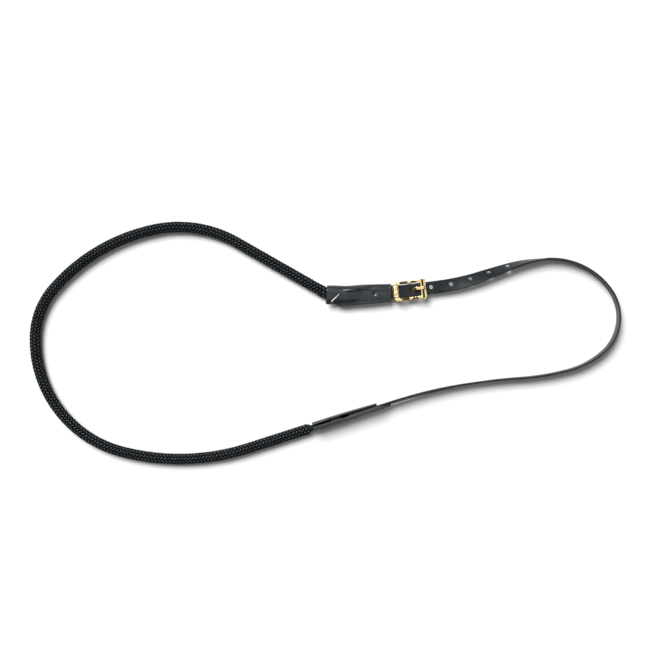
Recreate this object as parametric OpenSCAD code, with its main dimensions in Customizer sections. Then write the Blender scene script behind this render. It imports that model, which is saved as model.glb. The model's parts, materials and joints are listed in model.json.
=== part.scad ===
// Adjustable lead-rope loop: braided rope on one side, leather strap on the other,
// a leather sleeve over each rope end and a double buckle that closes the loop.
// The loop lies flat: +X runs along the buckle towards the strap, +Z is up and z = 0 is the ground.
// The origin is on the ground under the middle of the whole loop's box.

/* [Rope] */
// Rope diameter
rope_d = 14; // [13.4:0.1:14]
// Thickness of the braided cover
cover_t = 1.7; // [1.4:0.1:2]
// Thickness of the whipping wound round each rope end
whipping_t = 0.3; // [0.2:0.05:0.35]
// Length of each whipping
whipping_len = 12; // [8:1:14]

/* [Rope shape on the ground] */
// Radius of the bend beside the strap sleeve
bend_1_r = 287; // [282:1:292]
// Radius of the second bend
bend_2_r = 292; // [288:1:296]
// Radius of the far corner, first half
bend_3_r = 147; // [144:1:150]
// Radius of the far corner, second half
bend_4_r = 96; // [93:1:99]
// Radius of the bend along the top
bend_5_r = 232; // [228:1:236]
// Radius of the bend that comes back to the buckle sleeve
bend_6_r = 149; // [146:1:152]
// Radius of the kink in the buckle sleeve's mouth
kink_r = 14; // [13:0.5:15]

/* [Strap] */
// Strap width
strap_w = 16; // [15.4:0.1:16]
// Strap thickness
strap_t = 2.5; // [2.2:0.1:2.5]
// Distance between strap holes
hole_pitch = 25.4; // [24:0.2:26]
// Distance from the centre bar to the first free hole
first_hole = 27.4; // [26.4:0.2:28.4]
// Strap hole diameter
hole_d = 4.2; // [4:0.1:4.6]
// How far the row of holes and the prong lie off the strap's middle
row_y = 1.2; // [0:0.1:1.4]
// Number of free holes beyond the prong's hole
free_holes = 5; // [3:1:5]
// Length of strap tail to the left of the centre bar
tail_len = 54; // [48:1:54]

/* [Strap shape on the ground] */
// Radius of the bend that leads into the far end
shoulder_r = 93; // [91:1:95]
// Radius of the far end
far_end_r = 59.5; // [58.5:0.5:60.5]
// Radius of the bend that leads out of the far end
lead_out_r = 108; // [106:1:110]
// Radius of the long bend before the strap sleeve
sway_r = 336; // [330:1:342]
// Radius of the long counter-bend at the strap sleeve
counter_sway_r = 686; // [676:2:696]

/* [Leather sleeves] */
// Leather thickness
leather_t = 1.8; // [1.6:0.1:1.8]
// Length of the buckle sleeve
sleeve_a_len = 82; // [80:1:84]
// Outer height of the buckle sleeve
sleeve_a_h = 13.4; // [13.4:0.1:13.6]
// Distance from the centre bar to the buckle sleeve
sleeve_a_end = 23.5; // [23.3:0.1:24]
// Angle between the buckle sleeve and the buckle
sleeve_skew = 5.5; // [5:0.1:5.6]
// Length of the strap sleeve's inner flap
sleeve_b_len = 85; // [82:1:88]
// Height of the strap sleeve, which stands on its fold
sleeve_b_h = 23; // [22:0.5:25]
// Outer thickness of the strap sleeve at its mouth
sleeve_b_t = 11; // [11:0.1:11.6]
// How far the strap sleeve leans in
sleeve_b_lean = 12; // [11:0.5:13]

/* [Buckle] */
// Outer length of the frame
buckle_len = 42; // [41.6:0.1:42.4]
// Outer width of the frame
buckle_w = 24.6; // [24.4:0.1:25.6]
// Width of the window across the strap
window_w = 17.6; // [17.4:0.1:18]
// Width of each end bar
end_bar_w = 7; // [6.8:0.1:7.2]
// Thickness of the frame at its end bars
frame_t = 2.7; // [2.4:0.1:2.8]
// Diameter of the centre bar
bar_d = 3; // [2.8:0.1:3]
// Thickness of the prong
prong_t = 2.6; // [2.4:0.1:2.6]
// Width of the prong
prong_w = 3.4; // [3:0.1:3.4]

/* [Hidden] */
$fn = 64;

gap = 0.1;                                     // clearance between pieces that lie against each other
running_gap = 0.05;                            // radial clearance of the prong's eye on its bar
rope_r = rope_d / 2;

// Heights at the buckle, from the ground up
bar_z = 5.2;                                   // axis of the centre bar
chape_t = 1.2;                                 // leather of the chape where it wraps the bar
chape_r = bar_d / 2 + gap + chape_t;           // outside of that wrap
strap_z = bar_z + chape_r + gap + strap_t / 2; // middle of the strap where it lies on the chape
end_bar_z = bar_z + 6.5;                       // underside of both end bars, clear of the strap when tilted

// The prong rises from its eye at this angle, bends over and lies on the outer end bar
prong_rise = 50;
prong_bend_r = 4;
notch_depth = 1.2;
prong_rest_z = end_bar_z + frame_t - notch_depth + running_gap + prong_t / 2;
prong_hole_x = (strap_z - bar_z) / tan(prong_rise);

// ---- Lines on the ground ------------------------------------------------------------------------
// A place is [x, y, heading]. A stretch is [length, turn], turn in degrees and positive to the left.

function arc(r, turn) = [r * abs(turn) * PI / 180, turn];

function step(p, stretch) = stretch[1] == 0
  ? [p[0] + stretch[0] * cos(p[2]), p[1] + stretch[0] * sin(p[2]), p[2]]
  : let (r = stretch[0] / (stretch[1] * PI / 180), h = p[2] + stretch[1])
    [p[0] + r * (sin(h) - sin(p[2])), p[1] - r * (cos(h) - cos(p[2])), h];

// The place after the first n stretches of a run
function after(p, run, n) = n == 0 ? p : step(after(p, run, n - 1), run[n - 1]);
function end_of(p, run) = after(p, run, len(run));
function run_length(run, i = 0) = i == len(run) ? 0 : run[i][0] + run_length(run, i + 1);

// The place at distance s along a run
function place_at(p, run, s, i = 0) =
  i == len(run) - 1 || s <= run[i][0]
  ? step(p, [s, run[i][1] * s / run[i][0]])
  : place_at(step(p, run[i]), run, s - run[i][0], i + 1);

// The strap, from the centre bar to the pointed end of the strap sleeve
strap_run = [
  [38, 0],
  [52, 12],
  [40, 0],
  [46, -14],
  arc(shoulder_r, -60.5),
  arc(far_end_r, -84.5),
  arc(lead_out_r, -25.5),
  arc(sway_r, -11),
  arc(counter_sway_r, 14)
];
sleeve_b_point = 17;                           // how far the pointed outer flap reaches past the inner one
bar_place = [0, 0, 0];
strap_out = end_of(bar_place, strap_run);
mouth_b = step(strap_out, [sleeve_b_len + sleeve_b_point, 0]);

// The rope, from the strap sleeve's mouth round to a place just inside the buckle sleeve
kink_inside = 3;                               // the kink ends this far inside the buckle sleeve
rope_bends = [
  arc(bend_1_r, -16),
  arc(bend_2_r, -16.5),
  arc(bend_3_r, -77.5),
  arc(bend_4_r, -38.5),
  arc(bend_5_r, -38),
  arc(bend_6_r, -41)
];
bent_end = end_of(mouth_b, rope_bends);
kink_turn = -360 - sleeve_skew - bent_end[2];
kink_end = step([0, 0, 180 - sleeve_skew], [sleeve_a_end + sleeve_a_len - kink_inside, 0]);

// Two straight lengths close the loop: one leaves the strap sleeve, one reaches the kink
kinked_end = step(bent_end, arc(kink_r, kink_turn));
miss = [kink_end[0] - kinked_end[0], kink_end[1] - kinked_end[1]];
way_1 = [cos(mouth_b[2]), sin(mouth_b[2])];
way_2 = [cos(bent_end[2]), sin(bent_end[2])];
det = way_1[0] * way_2[1] - way_1[1] * way_2[0];
straight_1 = (miss[0] * way_2[1] - miss[1] * way_2[0]) / det;
straight_2 = (way_1[0] * miss[1] - way_1[1] * miss[0]) / det;

// The hinge that stands in for the rope's bending crosses both straights
fold_back = 50;                                // from the hinge line to each sleeve's mouth, about
socket_gap = 4.9;                              // a stub's rim stops this far short of the hinge line
hinge_b = step(mouth_b, [fold_back, 0]);
bight_run = concat([[straight_1 - fold_back, 0]], rope_bends, [[straight_2 - fold_back, 0]]);
hinge_a = end_of(hinge_b, bight_run);
rope_in_a = 36;                                // rope beyond the kink, inside the buckle sleeve
rope_in_b = 38;                                // rope inside the strap sleeve
stub_a_run = [[fold_back, 0], arc(kink_r, kink_turn), [rope_in_a, 0]];

// ---- Tubes: rope lengths as rings of points at stations along a run ----------------------------------
// A station is [x, y, z, heading, half width, half height, roll, wall]
ring_sides = 16;
turn_per_station = 4;
ball_steps = [80, 60, 30];

function frame_left(heading) = [-sin(heading), cos(heading), 0];
function frame_across(heading, roll) = cos(roll) * frame_left(heading) - [0, 0, sin(roll)];
function frame_up(heading, roll) = sin(roll) * frame_left(heading) + [0, 0, cos(roll)];

// Distances along a run at which a bend is cut into short chords
function stops(run, i = 0, s = 0) = i == len(run) ? [] : concat(
  let (n = max(1, ceil(abs(run[i][1]) / turn_per_station))) [for (k = [0:n - 1]) s + run[i][0] * k / n],
  stops(run, i + 1, s + run[i][0])
);

function ring(st, inset) = [
  for (k = [0:ring_sides - 1])
    let (t = -360 * k / ring_sides)
    [st[0], st[1], st[2]]
    + (st[4] - inset) * cos(t) * frame_across(st[3], st[6])
    + (st[5] - inset) * sin(t) * frame_up(st[3], st[6])
];

function round_station(p, r, wall = cover_t) = [p[0], p[1], rope_r, p[2], r, r, 0, wall];

bight_len = run_length(bight_run);
function bight_ball(s, radius_angle) = round_station(
  place_at(hinge_b, bight_run, s < 0 ? -rope_r * sin(radius_angle) : bight_len + rope_r * sin(radius_angle)),
  rope_r * cos(radius_angle), min(cover_t, rope_r * cos(radius_angle) / 2));
bight_middle = [
  for (s = concat(stops(bight_run), [bight_len])) round_station(place_at(hinge_b, bight_run, s), rope_r)
];
bight_stations = concat(
  [for (t = ball_steps) bight_ball(-1, t)],
  bight_middle,
  [for (i = [len(ball_steps) - 1:-1:0]) bight_ball(1, ball_steps[i])]
);

function between(a, b, t) = a + (b - a) * t;

// A stub's cover thins at its rim, to clear the bight's ball
rim_wall = 1.3;
rim_len = 0.7;

// Stub and rope end at the buckle sleeve: round until the kink, then flattened
flat_a = [7.4, 4.5];
function end_a_station(s) = let (
  p = place_at(hinge_a, stub_a_run, s),
  t = ease(ramp(s, fold_back - 11, fold_back - 1))
) [p[0], p[1], between(rope_r, sleeve_a_h / 2, t), p[2],
   between(rope_r, flat_a[0], t), between(rope_r, flat_a[1], t), 0, cover_t];
stub_a_len = run_length(stub_a_run);
end_a_stops = concat(
  [for (s = [fold_back - 12:2:fold_back - 1]) s],
  [for (k = [0:7]) fold_back + stub_a_run[1][0] * k / 8],
  [fold_back + stub_a_run[1][0]]
);
end_a_stations = concat(
  [with_wall(end_a_station(socket_gap), rim_wall), end_a_station(socket_gap + rim_len)],
  [for (s = concat(end_a_stops, [stub_a_len])) end_a_station(s)]
);
function with_wall(st, wall) = concat([for (i = [0:6]) st[i]], [wall]);

// Stub and rope end at the strap sleeve: squeezed upright between the flaps, leaning with them
flat_b = [3.3, 7.8];
flat_b_z = 9.9;
flat_b_shift = -0.32;
function end_b_station(s) = let (
  p = step(mouth_b, [s, 0]),
  t = ease(ramp(s, 9, 0.5)),
  side = frame_left(p[2]) * flat_b_shift * t
) [p[0] + side[0], p[1] + side[1], between(rope_r, flat_b_z, t), p[2],
   between(rope_r, flat_b[0], t), between(rope_r, flat_b[1], t), -sleeve_b_lean * t, cover_t];
end_b_stations = concat(
  [for (s = concat([-rope_in_b], [for (k = [0:2:10]) k])) end_b_station(s)],
  [
    end_b_station(fold_back - socket_gap - rim_len),
    with_wall(end_b_station(fold_back - socket_gap), rim_wall)
  ]
);

// ---- How the strap stands along its run ---------------------------------------------------------
function ease(t) = let (c = max(0, min(1, t))) c * c * (3 - 2 * c);
function ramp(s, from, to) = max(0, min(1, (s - from) / (to - from)));

strap_out_s = run_length(strap_run);
twist_from = 38;
twist_to = 180;
sleeve_strap_z = 11.2;                         // middle of the strap inside the strap sleeve
strap_inset = 55;                              // how much of the strap lies in the strap sleeve
strap_total = strap_out_s + strap_inset;
strap_stands_z = strap_w / 2 + 0.05;
full_run = concat(strap_run, [[sleeve_b_len + sleeve_b_point, 0]]);

// 0 lies flat; 90 stands on edge with the grain side facing out of the loop
function strap_roll(s) =
  90 * ramp(s, twist_from, twist_to) - sleeve_b_lean * ease(ramp(s, strap_out_s - 170, strap_out_s - 40));
function strap_height(s) =
  strap_z + (strap_stands_z - strap_z) * ease(ramp(s, twist_from, twist_to))
  + (sleeve_strap_z - strap_stands_z) * ease(ramp(s, strap_out_s - 120, strap_out_s - 5));

function strap_corners(s) =
  let (
    p = s < 0 ? [s, 0, 0] : place_at(bar_place, full_run, s),
    roll = strap_roll(s),
    across = frame_across(p[2], roll),
    up = frame_up(p[2], roll),
    mid = [p[0], p[1], strap_height(s)]
  )
  [for (c = [[-1, -1], [-1, 1], [1, 1], [1, -1]])
    mid + across * c[0] * strap_w / 2 + up * c[1] * strap_t / 2];

station_gap = 4;
strap_stations = let (count = ceil((strap_total - twist_from) / station_gap)) concat(
  [-tail_len],
  [for (i = [0:count]) twist_from + (strap_total - twist_from) * i / count]
);
strap_points = [for (s = strap_stations) each strap_corners(s)];

// ---- Middle of the loop's box -------------------------------------------------------------------
outline = concat([for (st = bight_stations) each ring(st, 0)], strap_points);
xs = [for (p = outline) p[0]];
ys = [for (p = outline) p[1]];
middle = [(min(xs) + max(xs)) / 2, (min(ys) + max(ys)) / 2, 0];

// ---- Helpers ------------------------------------------------------------------------------------
module on_ground() translate(-middle) children();

module at_place(p) translate([p[0], p[1], 0]) rotate([0, 0, p[2]]) children();

function quad(a, b, c, d) = [[a, b, c], [a, c, d]];

// Faces between two rings whose points start at a and b, facing outwards
function band(a, b, n = ring_sides) = [
  for (k = [0:n - 1]) each let (m = (k + 1) % n) quad(a + k, a + m, b + m, b + k)
];

module solid_tube(stations, inset) {
  last = (len(stations) - 1) * ring_sides;
  polyhedron(
    [for (st = stations) each ring(st, inset)],
    concat(
      [for (i = [0:len(stations) - 2]) each band(i * ring_sides, (i + 1) * ring_sides)],
      [[for (k = [ring_sides - 1:-1:0]) k]],
      [[for (k = [0:ring_sides - 1]) last + k]]
    )
  );
}

// A tube from inset to inset plus each station's wall
module hollow_tube(stations, inset) {
  total = len(stations) * ring_sides;
  last = total - ring_sides;
  polyhedron(
    concat(
      [for (st = stations) each ring(st, inset)],
      [for (st = stations) each ring(st, inset + st[7])]
    ),
    concat(
      [for (i = [0:len(stations) - 2]) each band(i * ring_sides, (i + 1) * ring_sides)],
      [for (i = [0:len(stations) - 2]) each band(total + (i + 1) * ring_sides, total + i * ring_sides)],
      band(total, 0),
      band(last, total + last)
    )
  );
}

// ---- Rope ---------------------------------------------------------------------------------------
cover_colour = [0.06, 0.08, 0.09];
core_colour = [0.75, 0.74, 0.70];
core_inset = cover_t + gap;
function part_of(list, from, to) = [for (i = [from:to]) list[i]];

module rope_cover_bight() color(cover_colour) on_ground() hollow_tube(bight_stations, 0);

module rope_core_bight() color(core_colour) on_ground() solid_tube(bight_middle, core_inset);

module rope_cover_buckle_end() color(cover_colour) on_ground() hollow_tube(end_a_stations, 0);

module rope_core_buckle_end() color(core_colour) on_ground()
  solid_tube(
    concat([end_a_station(rope_r + 1)], part_of(end_a_stations, 2, len(end_a_stations) - 1)),
    core_inset
  );

module rope_cover_strap_end() color(cover_colour) on_ground() hollow_tube(end_b_stations, 0);

module rope_core_strap_end() color(core_colour) on_ground()
  solid_tube(
    concat(part_of(end_b_stations, 0, len(end_b_stations) - 3), [end_b_station(fold_back - rope_r - 1)]),
    core_inset
  );

whipping_inset = 2;                            // from the rope's cut end to the whipping
module whipping(stations) color([0.12, 0.12, 0.12]) on_ground()
  hollow_tube([for (st = stations) with_wall(st, whipping_t)], -whipping_t - 0.04);

module whipping_buckle_end()
  whipping([
    end_a_station(stub_a_len - whipping_inset - whipping_len),
    end_a_station(stub_a_len - whipping_inset)
  ]);

module whipping_strap_end()
  whipping([
    end_b_station(whipping_inset - rope_in_b),
    end_b_station(whipping_inset - rope_in_b + whipping_len)
  ]);

// ---- Buckle sleeve: local x = 0 at its mouth, the fold along +Y, open along -Y -------------------
fold_y = 10;                                   // outside of the fold, from the rope's axis
blind_hole = [sleeve_a_len - 21, -3];
sleeve_a_place = [
  -(sleeve_a_end + sleeve_a_len) * cos(sleeve_skew),
  (sleeve_a_end + sleeve_a_len) * sin(sleeve_skew),
  -sleeve_skew
];

// One folded sheet, in section: x to the left, y up
module folded_section(h, t, fold_x, reach) difference() {
  union() {
    translate([fold_x - h / 2, h / 2]) circle(h / 2);
    translate([-reach, 0]) square([reach + fold_x - h / 2, h]);
  }
  translate([fold_x - h / 2, h / 2]) circle(h / 2 - t);
  translate([-reach - 1, t]) square([reach + 1 + fold_x - h / 2, h - 2 * t]);
}

module buckle_sleeve() color([0.20, 0.22, 0.23]) on_ground() at_place(sleeve_a_place) difference() {
  rotate([90, 0, 90]) linear_extrude(sleeve_a_len)
    folded_section(sleeve_a_h, leather_t, fold_y, 18);
  // The lower edge steps out past the mouth and then tapers towards the buckle
  translate([0, 0, -1]) linear_extrude(sleeve_a_h + 2) polygon([
    [-1, -13.4], [11, -13.4], [18, -17.3], [sleeve_a_len + 1, -13.3],
    [sleeve_a_len + 1, -20], [-1, -20]
  ]);
  translate([blind_hole[0], blind_hole[1], sleeve_a_h - leather_t - 0.5])
    cylinder(h = leather_t + 1, d = hole_d);
}

// ---- Strap sleeve: local x = 0 at its mouth, +X towards the strap, +Y into the loop --------------
sleeve_b_place = [mouth_b[0], mouth_b[1], mouth_b[2] + 180];
sleeve_b_shift = 0.6;                          // leaves the strap room to move towards the inner flap
sleeve_b_end_t = 8.2;                          // outer thickness where the inner flap ends
sleeve_b_taper_x = 42;                         // the sleeve keeps its thickness up to here
lean_pivot = sleeve_b_t / 2 + (sleeve_strap_z - sleeve_b_t / 2) / cos(sleeve_b_lean);

module lean_sleeve_b() translate([0, sleeve_b_shift, sleeve_strap_z]) rotate([-sleeve_b_lean, 0, 0])
  translate([0, 0, -lean_pivot]) children();

// One side of the folded sheet in section, from the inner flap's top edge under the fold to the outer one's
fold_facets = 10;
function fold_line(outer_t, r) = concat(
  [[r, sleeve_b_h]],
  [for (k = [0:fold_facets]) [0, outer_t / 2] + polar(r, -180 * k / fold_facets)],
  [[-r, sleeve_b_h]]
);
function fold_section(x, outer_t) =
  let (outside = fold_line(outer_t, outer_t / 2), inside = fold_line(outer_t, outer_t / 2 - leather_t))
  [for (p = concat(outside, [for (i = [len(inside) - 1:-1:0]) inside[i]])) [x, p[0], p[1]]];

module strap_sleeve() color([0.20, 0.22, 0.23]) on_ground() at_place(sleeve_b_place) lean_sleeve_b() {
  reach = sleeve_b_len + sleeve_b_point;
  sections = [
    fold_section(0, sleeve_b_t), fold_section(sleeve_b_taper_x, sleeve_b_t),
    fold_section(sleeve_b_len, sleeve_b_end_t), fold_section(reach, sleeve_b_end_t)
  ];
  n = len(sections[0]);
  last = (len(sections) - 1) * n;
  strip = [0:n / 2 - 2];
  difference() {
    polyhedron(
      [for (section = sections) each section],
      concat(
        [for (i = [0:len(sections) - 2]) each band(n * i, n * i + n, n)],
        [for (i = strip) each quad(n - 1 - i, n - 2 - i, i + 1, i)],
        [for (i = strip) each quad(last + i, last + i + 1, last + n - 2 - i, last + n - 1 - i)]
      )
    );
    // The inner flap stops short of the outer one, which runs on to a point
    translate([sleeve_b_len, 0.4 - inner_half(sleeve_b_end_t), -1]) cube([reach, sleeve_b_t, sleeve_b_h + 2]);
    translate([0, sleeve_b_t, 0]) rotate([90, 0, 0]) linear_extrude(2 * sleeve_b_t) polygon([
      [sleeve_b_len - 4, sleeve_b_h + 1], [reach, lean_pivot], [sleeve_b_len + 1, -1],
      [reach + 1, -1], [reach + 1, sleeve_b_h + 1]
    ]);
  }
}
function inner_half(outer_t) = outer_t / 2 - leather_t;

// ---- Chape: the loop of leather that holds the centre bar -----------------------------------------
chape_w = 14.6;
chape_len = 58;
chape_slot_x = -5.5;
chape_slot_w = 4.4;
chape_lap_t = 2.6;                             // both layers together, where they lie on each other
chape_parting = 14;                            // the layers start to part this far from the bar

module buckle_chape() color([0.17, 0.18, 0.19]) on_ground() rotate([0, 0, -sleeve_skew]) {
  wrap_x = bar_d / 2 * 0.75;                   // room for the bar, which crosses the loop at a small angle
  difference() {
    translate([0, chape_w / 2, bar_z]) rotate([90, 0, 0]) linear_extrude(chape_w) difference() {
      union() {
        translate([wrap_x, 0]) circle(chape_r);
        polygon([
          [-chape_len, -chape_lap_t / 2], [-chape_parting, -chape_lap_t / 2],
          [-wrap_x, -chape_r], [wrap_x, -chape_r], [wrap_x, chape_r], [-wrap_x, chape_r],
          [-chape_parting, chape_lap_t / 2], [-chape_len, chape_lap_t / 2]
        ]);
      }
      translate([wrap_x, 0]) circle(chape_r - chape_t);
      polygon([
        [2 - chape_parting, 0], [-wrap_x, chape_t - chape_r], [wrap_x, chape_t - chape_r],
        [wrap_x, chape_r - chape_t], [-wrap_x, chape_r - chape_t]
      ]);
    }
    // The slot that the prong stands in
    translate([chape_slot_x, row_y - chape_slot_w / 2, 0]) cube([20, chape_slot_w, 20]);
    translate([chape_slot_x, row_y, 0]) cylinder(h = 20, d = chape_slot_w);
  }
}

// ---- Stitches and bar tacks ----------------------------------------------------------------------
stitch_len = 3;
stitch_pitch = 4.2;
stitch_w = 0.7;
stitch_t = 0.4;
edge_row_start = [19, -14.6];                  // the row beside the buckle sleeve's open edge
edge_row_turn = 4.8;
mouth_row_start = [2.5, -4.5];                 // the two stitches at the buckle sleeve's mouth
mouth_row_pitch = 5;
flap_row_start = 4;                            // the row under the strap sleeve's top edge
flap_row_inset = 2.5;
chape_row_start = -50;
chape_row_y = 5;

// A row of n stitches along +X, lying on z = 0
module stitch_row(n, pitch = stitch_pitch)
  for (i = [0:n - 1]) translate([i * pitch, -stitch_w / 2, 0]) cube([stitch_len, stitch_w, stitch_t]);

module buckle_sleeve_stitches() color([0.08, 0.08, 0.09]) on_ground() at_place(sleeve_a_place)
  translate([0, 0, sleeve_a_h]) {
    translate(edge_row_start) rotate([0, 0, edge_row_turn]) stitch_row(6);
    translate(mouth_row_start) rotate([0, 0, 90]) stitch_row(2, mouth_row_pitch);
  }

module strap_sleeve_stitches() color([0.08, 0.08, 0.09]) on_ground() at_place(sleeve_b_place)
  lean_sleeve_b() translate([flap_row_start, -sleeve_b_t / 2, sleeve_b_h - flap_row_inset])
    rotate([90, 0, 0]) stitch_row(8);

module chape_stitches() color([0.08, 0.08, 0.09]) on_ground() rotate([0, 0, -sleeve_skew])
  for (side = [-1, 1])
    translate([chape_row_start, side * chape_row_y, bar_z + chape_lap_t / 2]) stitch_row(7);

bar_tack_w = 1.4;
tack_a = [6.4, -11.4, 44.5, 13.6];             // start x, y, turn and length on the buckle sleeve
tack_b = [2.4, 7, 60, 8];                      // start x, height, slope and length on the strap sleeve

module buckle_sleeve_bar_tack() color([0.92, 0.92, 0.90]) on_ground() at_place(sleeve_a_place)
  translate([tack_a[0], tack_a[1], sleeve_a_h]) rotate([0, 0, tack_a[2]])
    translate([0, -bar_tack_w / 2, 0]) cube([tack_a[3], bar_tack_w, stitch_t]);

module strap_sleeve_bar_tack() color([0.80, 0.80, 0.79]) on_ground() at_place(sleeve_b_place)
  lean_sleeve_b() translate([tack_b[0], -sleeve_b_t / 2 - stitch_t, tack_b[1]])
    rotate([0, -tack_b[2], 0]) translate([0, 0, -bar_tack_w / 2]) cube([tack_b[3], stitch_t, bar_tack_w]);

// ---- Strap ---------------------------------------------------------------------------------------
hole_places = [for (i = [0:free_holes - 1]) first_hole + i * hole_pitch];
prong_hole_stretch = 1.9;                      // half of what wear has added to the prong hole's length

module strap_hole(s) {
  p = place_at(bar_place, full_run, s);
  translate([p[0], p[1], strap_height(s)]) rotate([0, 0, p[2]]) rotate([-strap_roll(s), 0, 0])
    translate([0, row_y, 0]) cylinder(h = 3 * strap_t, d = hole_d, center = true);
}

module adjusting_strap() color([0.20, 0.22, 0.23]) on_ground() {
  last = 4 * (len(strap_stations) - 1);
  sides = [for (i = [0:len(strap_stations) - 2]) each band(4 * i, 4 * i + 4, 4)];
  ends = [[3, 2, 1, 0], [last, last + 1, last + 2, last + 3]];
  difference() {
    polyhedron(strap_points, concat(sides, ends));
    for (s = hole_places) strap_hole(s);
    // The prong's hole is drawn out by wear, because the prong crosses it at a slant
    translate([prong_hole_x, row_y, strap_z]) for (side = [-1, 1])
      translate([side * prong_hole_stretch, 0, 0]) cylinder(h = 3 * strap_t, d = hole_d, center = true);
    translate([prong_hole_x, row_y, strap_z])
      cube([2 * prong_hole_stretch, hole_d, 3 * strap_t], center = true);
    // The tail's corners are cut to a blunt point
    for (side = [-1, 1]) translate([-tail_len, side * strap_w / 2, strap_z]) rotate([0, 0, side * 35])
      cube([10, 6, 2 * strap_t], center = true);
  }
}

// ---- Buckle --------------------------------------------------------------------------------------
rail_w = (buckle_w - window_w) / 2;
window_len = buckle_len - 2 * end_bar_w;
rail_swell = 0.6;                              // the rails are this much thicker at the centre bar
rail_dip = 4;                                  // the side rails sink this far towards the centre bar
lug_r = 2.4;
notch_gap = 0.3;                               // beside the prong's tip in its notch

// A rectangle with its corners rounded: r_left at the end over the sleeve, r_right at the other
module rounded_plan(length, width, r_left, r_right) {
  translate([-length / 2 + r_left, -width / 2]) square([length - r_left - r_right, width]);
  translate([-length / 2, -width / 2 + r_left]) square([2 * r_left, width - 2 * r_left]);
  translate([length / 2 - 2 * r_right, -width / 2 + r_right]) square([2 * r_right, width - 2 * r_right]);
  for (side = [-1, 1]) {
    translate([-length / 2 + r_left, side * (width / 2 - r_left)]) circle(r_left);
    translate([length / 2 - r_right, side * (width / 2 - r_right)]) circle(r_right);
  }
}

// Underside of the frame at x: level under the end bars, dipping between them
dip_reach = window_len / 2 - 1;
function frame_low(x) = end_bar_z - rail_dip * (1 - ease(abs(x) / (dip_reach - 0.5)));

module buckle_frame() color([0.80, 0.62, 0.25]) on_ground() difference() {
  union() {
    intersection() {
      linear_extrude(40) difference() {
        rounded_plan(buckle_len, buckle_w, 5.5, 2);
        rounded_plan(window_len, window_w, 2.5, 1);
      }
      translate([0, buckle_w, 0]) rotate([90, 0, 0]) linear_extrude(2 * buckle_w) polygon(concat(
        [[buckle_len, end_bar_z + frame_t], [-buckle_len, end_bar_z + frame_t]],
        [[-buckle_len, end_bar_z]],
        [for (x = [-dip_reach:1:dip_reach]) [x, frame_low(x)]],
        [[buckle_len, end_bar_z]]
      ));
    }
    for (side = [-1, 1]) translate([0, side * (window_w + rail_w) / 2, 0]) {
      translate([0, 0, bar_z]) rotate([90, 0, 0]) cylinder(h = rail_w, r = lug_r, center = true);
      translate([-lug_r, -rail_w / 2, bar_z]) cube([2 * lug_r, rail_w, end_bar_z - bar_z]);
    }
  }
  translate([0, 0, bar_z]) rotate([90, 0, 0])
    cylinder(h = 2 * buckle_w, r = bar_d / 2 + running_gap, center = true);
  // The top of the rails follows the dip
  translate([0, buckle_w, 0]) rotate([90, 0, 0]) linear_extrude(2 * buckle_w) polygon(concat(
    [[-dip_reach, end_bar_z + frame_t + 1]],
    [for (x = [-dip_reach:1:dip_reach])
      [x, frame_low(x) + frame_t + rail_swell * (1 - ease(abs(x) / dip_reach))]],
    [[dip_reach, end_bar_z + frame_t + 1]]
  ));
  // The notch that the prong's tip lies in
  translate([window_len / 2 - 1, row_y - prong_w / 2 - notch_gap, end_bar_z + frame_t - notch_depth])
    cube([buckle_len, prong_w + 2 * notch_gap, frame_t]);
}

module centre_bar() color([0.80, 0.62, 0.25]) on_ground()
  translate([0, 0, bar_z]) rotate([90, 0, 0]) cylinder(h = buckle_w, d = bar_d, center = true);

function polar(r, angle) = r * [cos(angle), sin(angle)];

prong_tip_inset = 3;                           // from the frame's outer edge to the round of the prong's tip

// Side view of the prong about the bar's axis: a rising stem, a bend and a level tongue
module prong_side() {
  half = prong_t / 2;
  level = prong_rest_z - bar_z;
  stem = (level - prong_bend_r * (1 - cos(prong_rise))) / sin(prong_rise);
  bend = [stem * cos(prong_rise) + prong_bend_r * sin(prong_rise), level - prong_bend_r];
  tip = [buckle_len / 2 - prong_tip_inset, level];
  polygon(concat(
    [polar(half, prong_rise + 90)],
    [for (t = [prong_rise:-10:0]) bend + polar(prong_bend_r + half, t + 90)],
    [for (t = [90:-30:-90]) tip + polar(half, t)],
    [for (t = [0:10:prong_rise]) bend + polar(prong_bend_r - half, t + 90)],
    [polar(half, prong_rise - 90)]
  ));
}

module buckle_prong() color([0.83, 0.66, 0.30]) on_ground() translate([0, row_y, bar_z]) difference() {
  union() {
    rotate([90, 0, 0]) cylinder(h = prong_w, r = chape_r - 0.05, center = true);
    translate([0, prong_w / 2, 0]) rotate([90, 0, 0]) linear_extrude(prong_w) prong_side();
  }
  rotate([90, 0, 0]) cylinder(h = 2 * prong_w, r = bar_d / 2 + running_gap, center = true);
}

rope_cover_bight();
rope_core_bight();
rope_cover_buckle_end();
rope_core_buckle_end();
rope_cover_strap_end();
rope_core_strap_end();
whipping_buckle_end();
whipping_strap_end();
buckle_sleeve();
strap_sleeve();
buckle_chape();
buckle_sleeve_stitches();
strap_sleeve_stitches();
chape_stitches();
buckle_sleeve_bar_tack();
strap_sleeve_bar_tack();
adjusting_strap();
buckle_frame();
centre_bar();
buckle_prong();
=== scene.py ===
# Looks of the adjustable lead-rope loop: braided rope, leather sleeves and strap, cast brass buckle.
# Lengths are in millimetres in the buckle's own frame: the centre bar crosses x = y = 0, +X runs
# towards the strap and z = 0 is the ground. to_frame() turns them into the CAD frame's metres.
import json
import math

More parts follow.
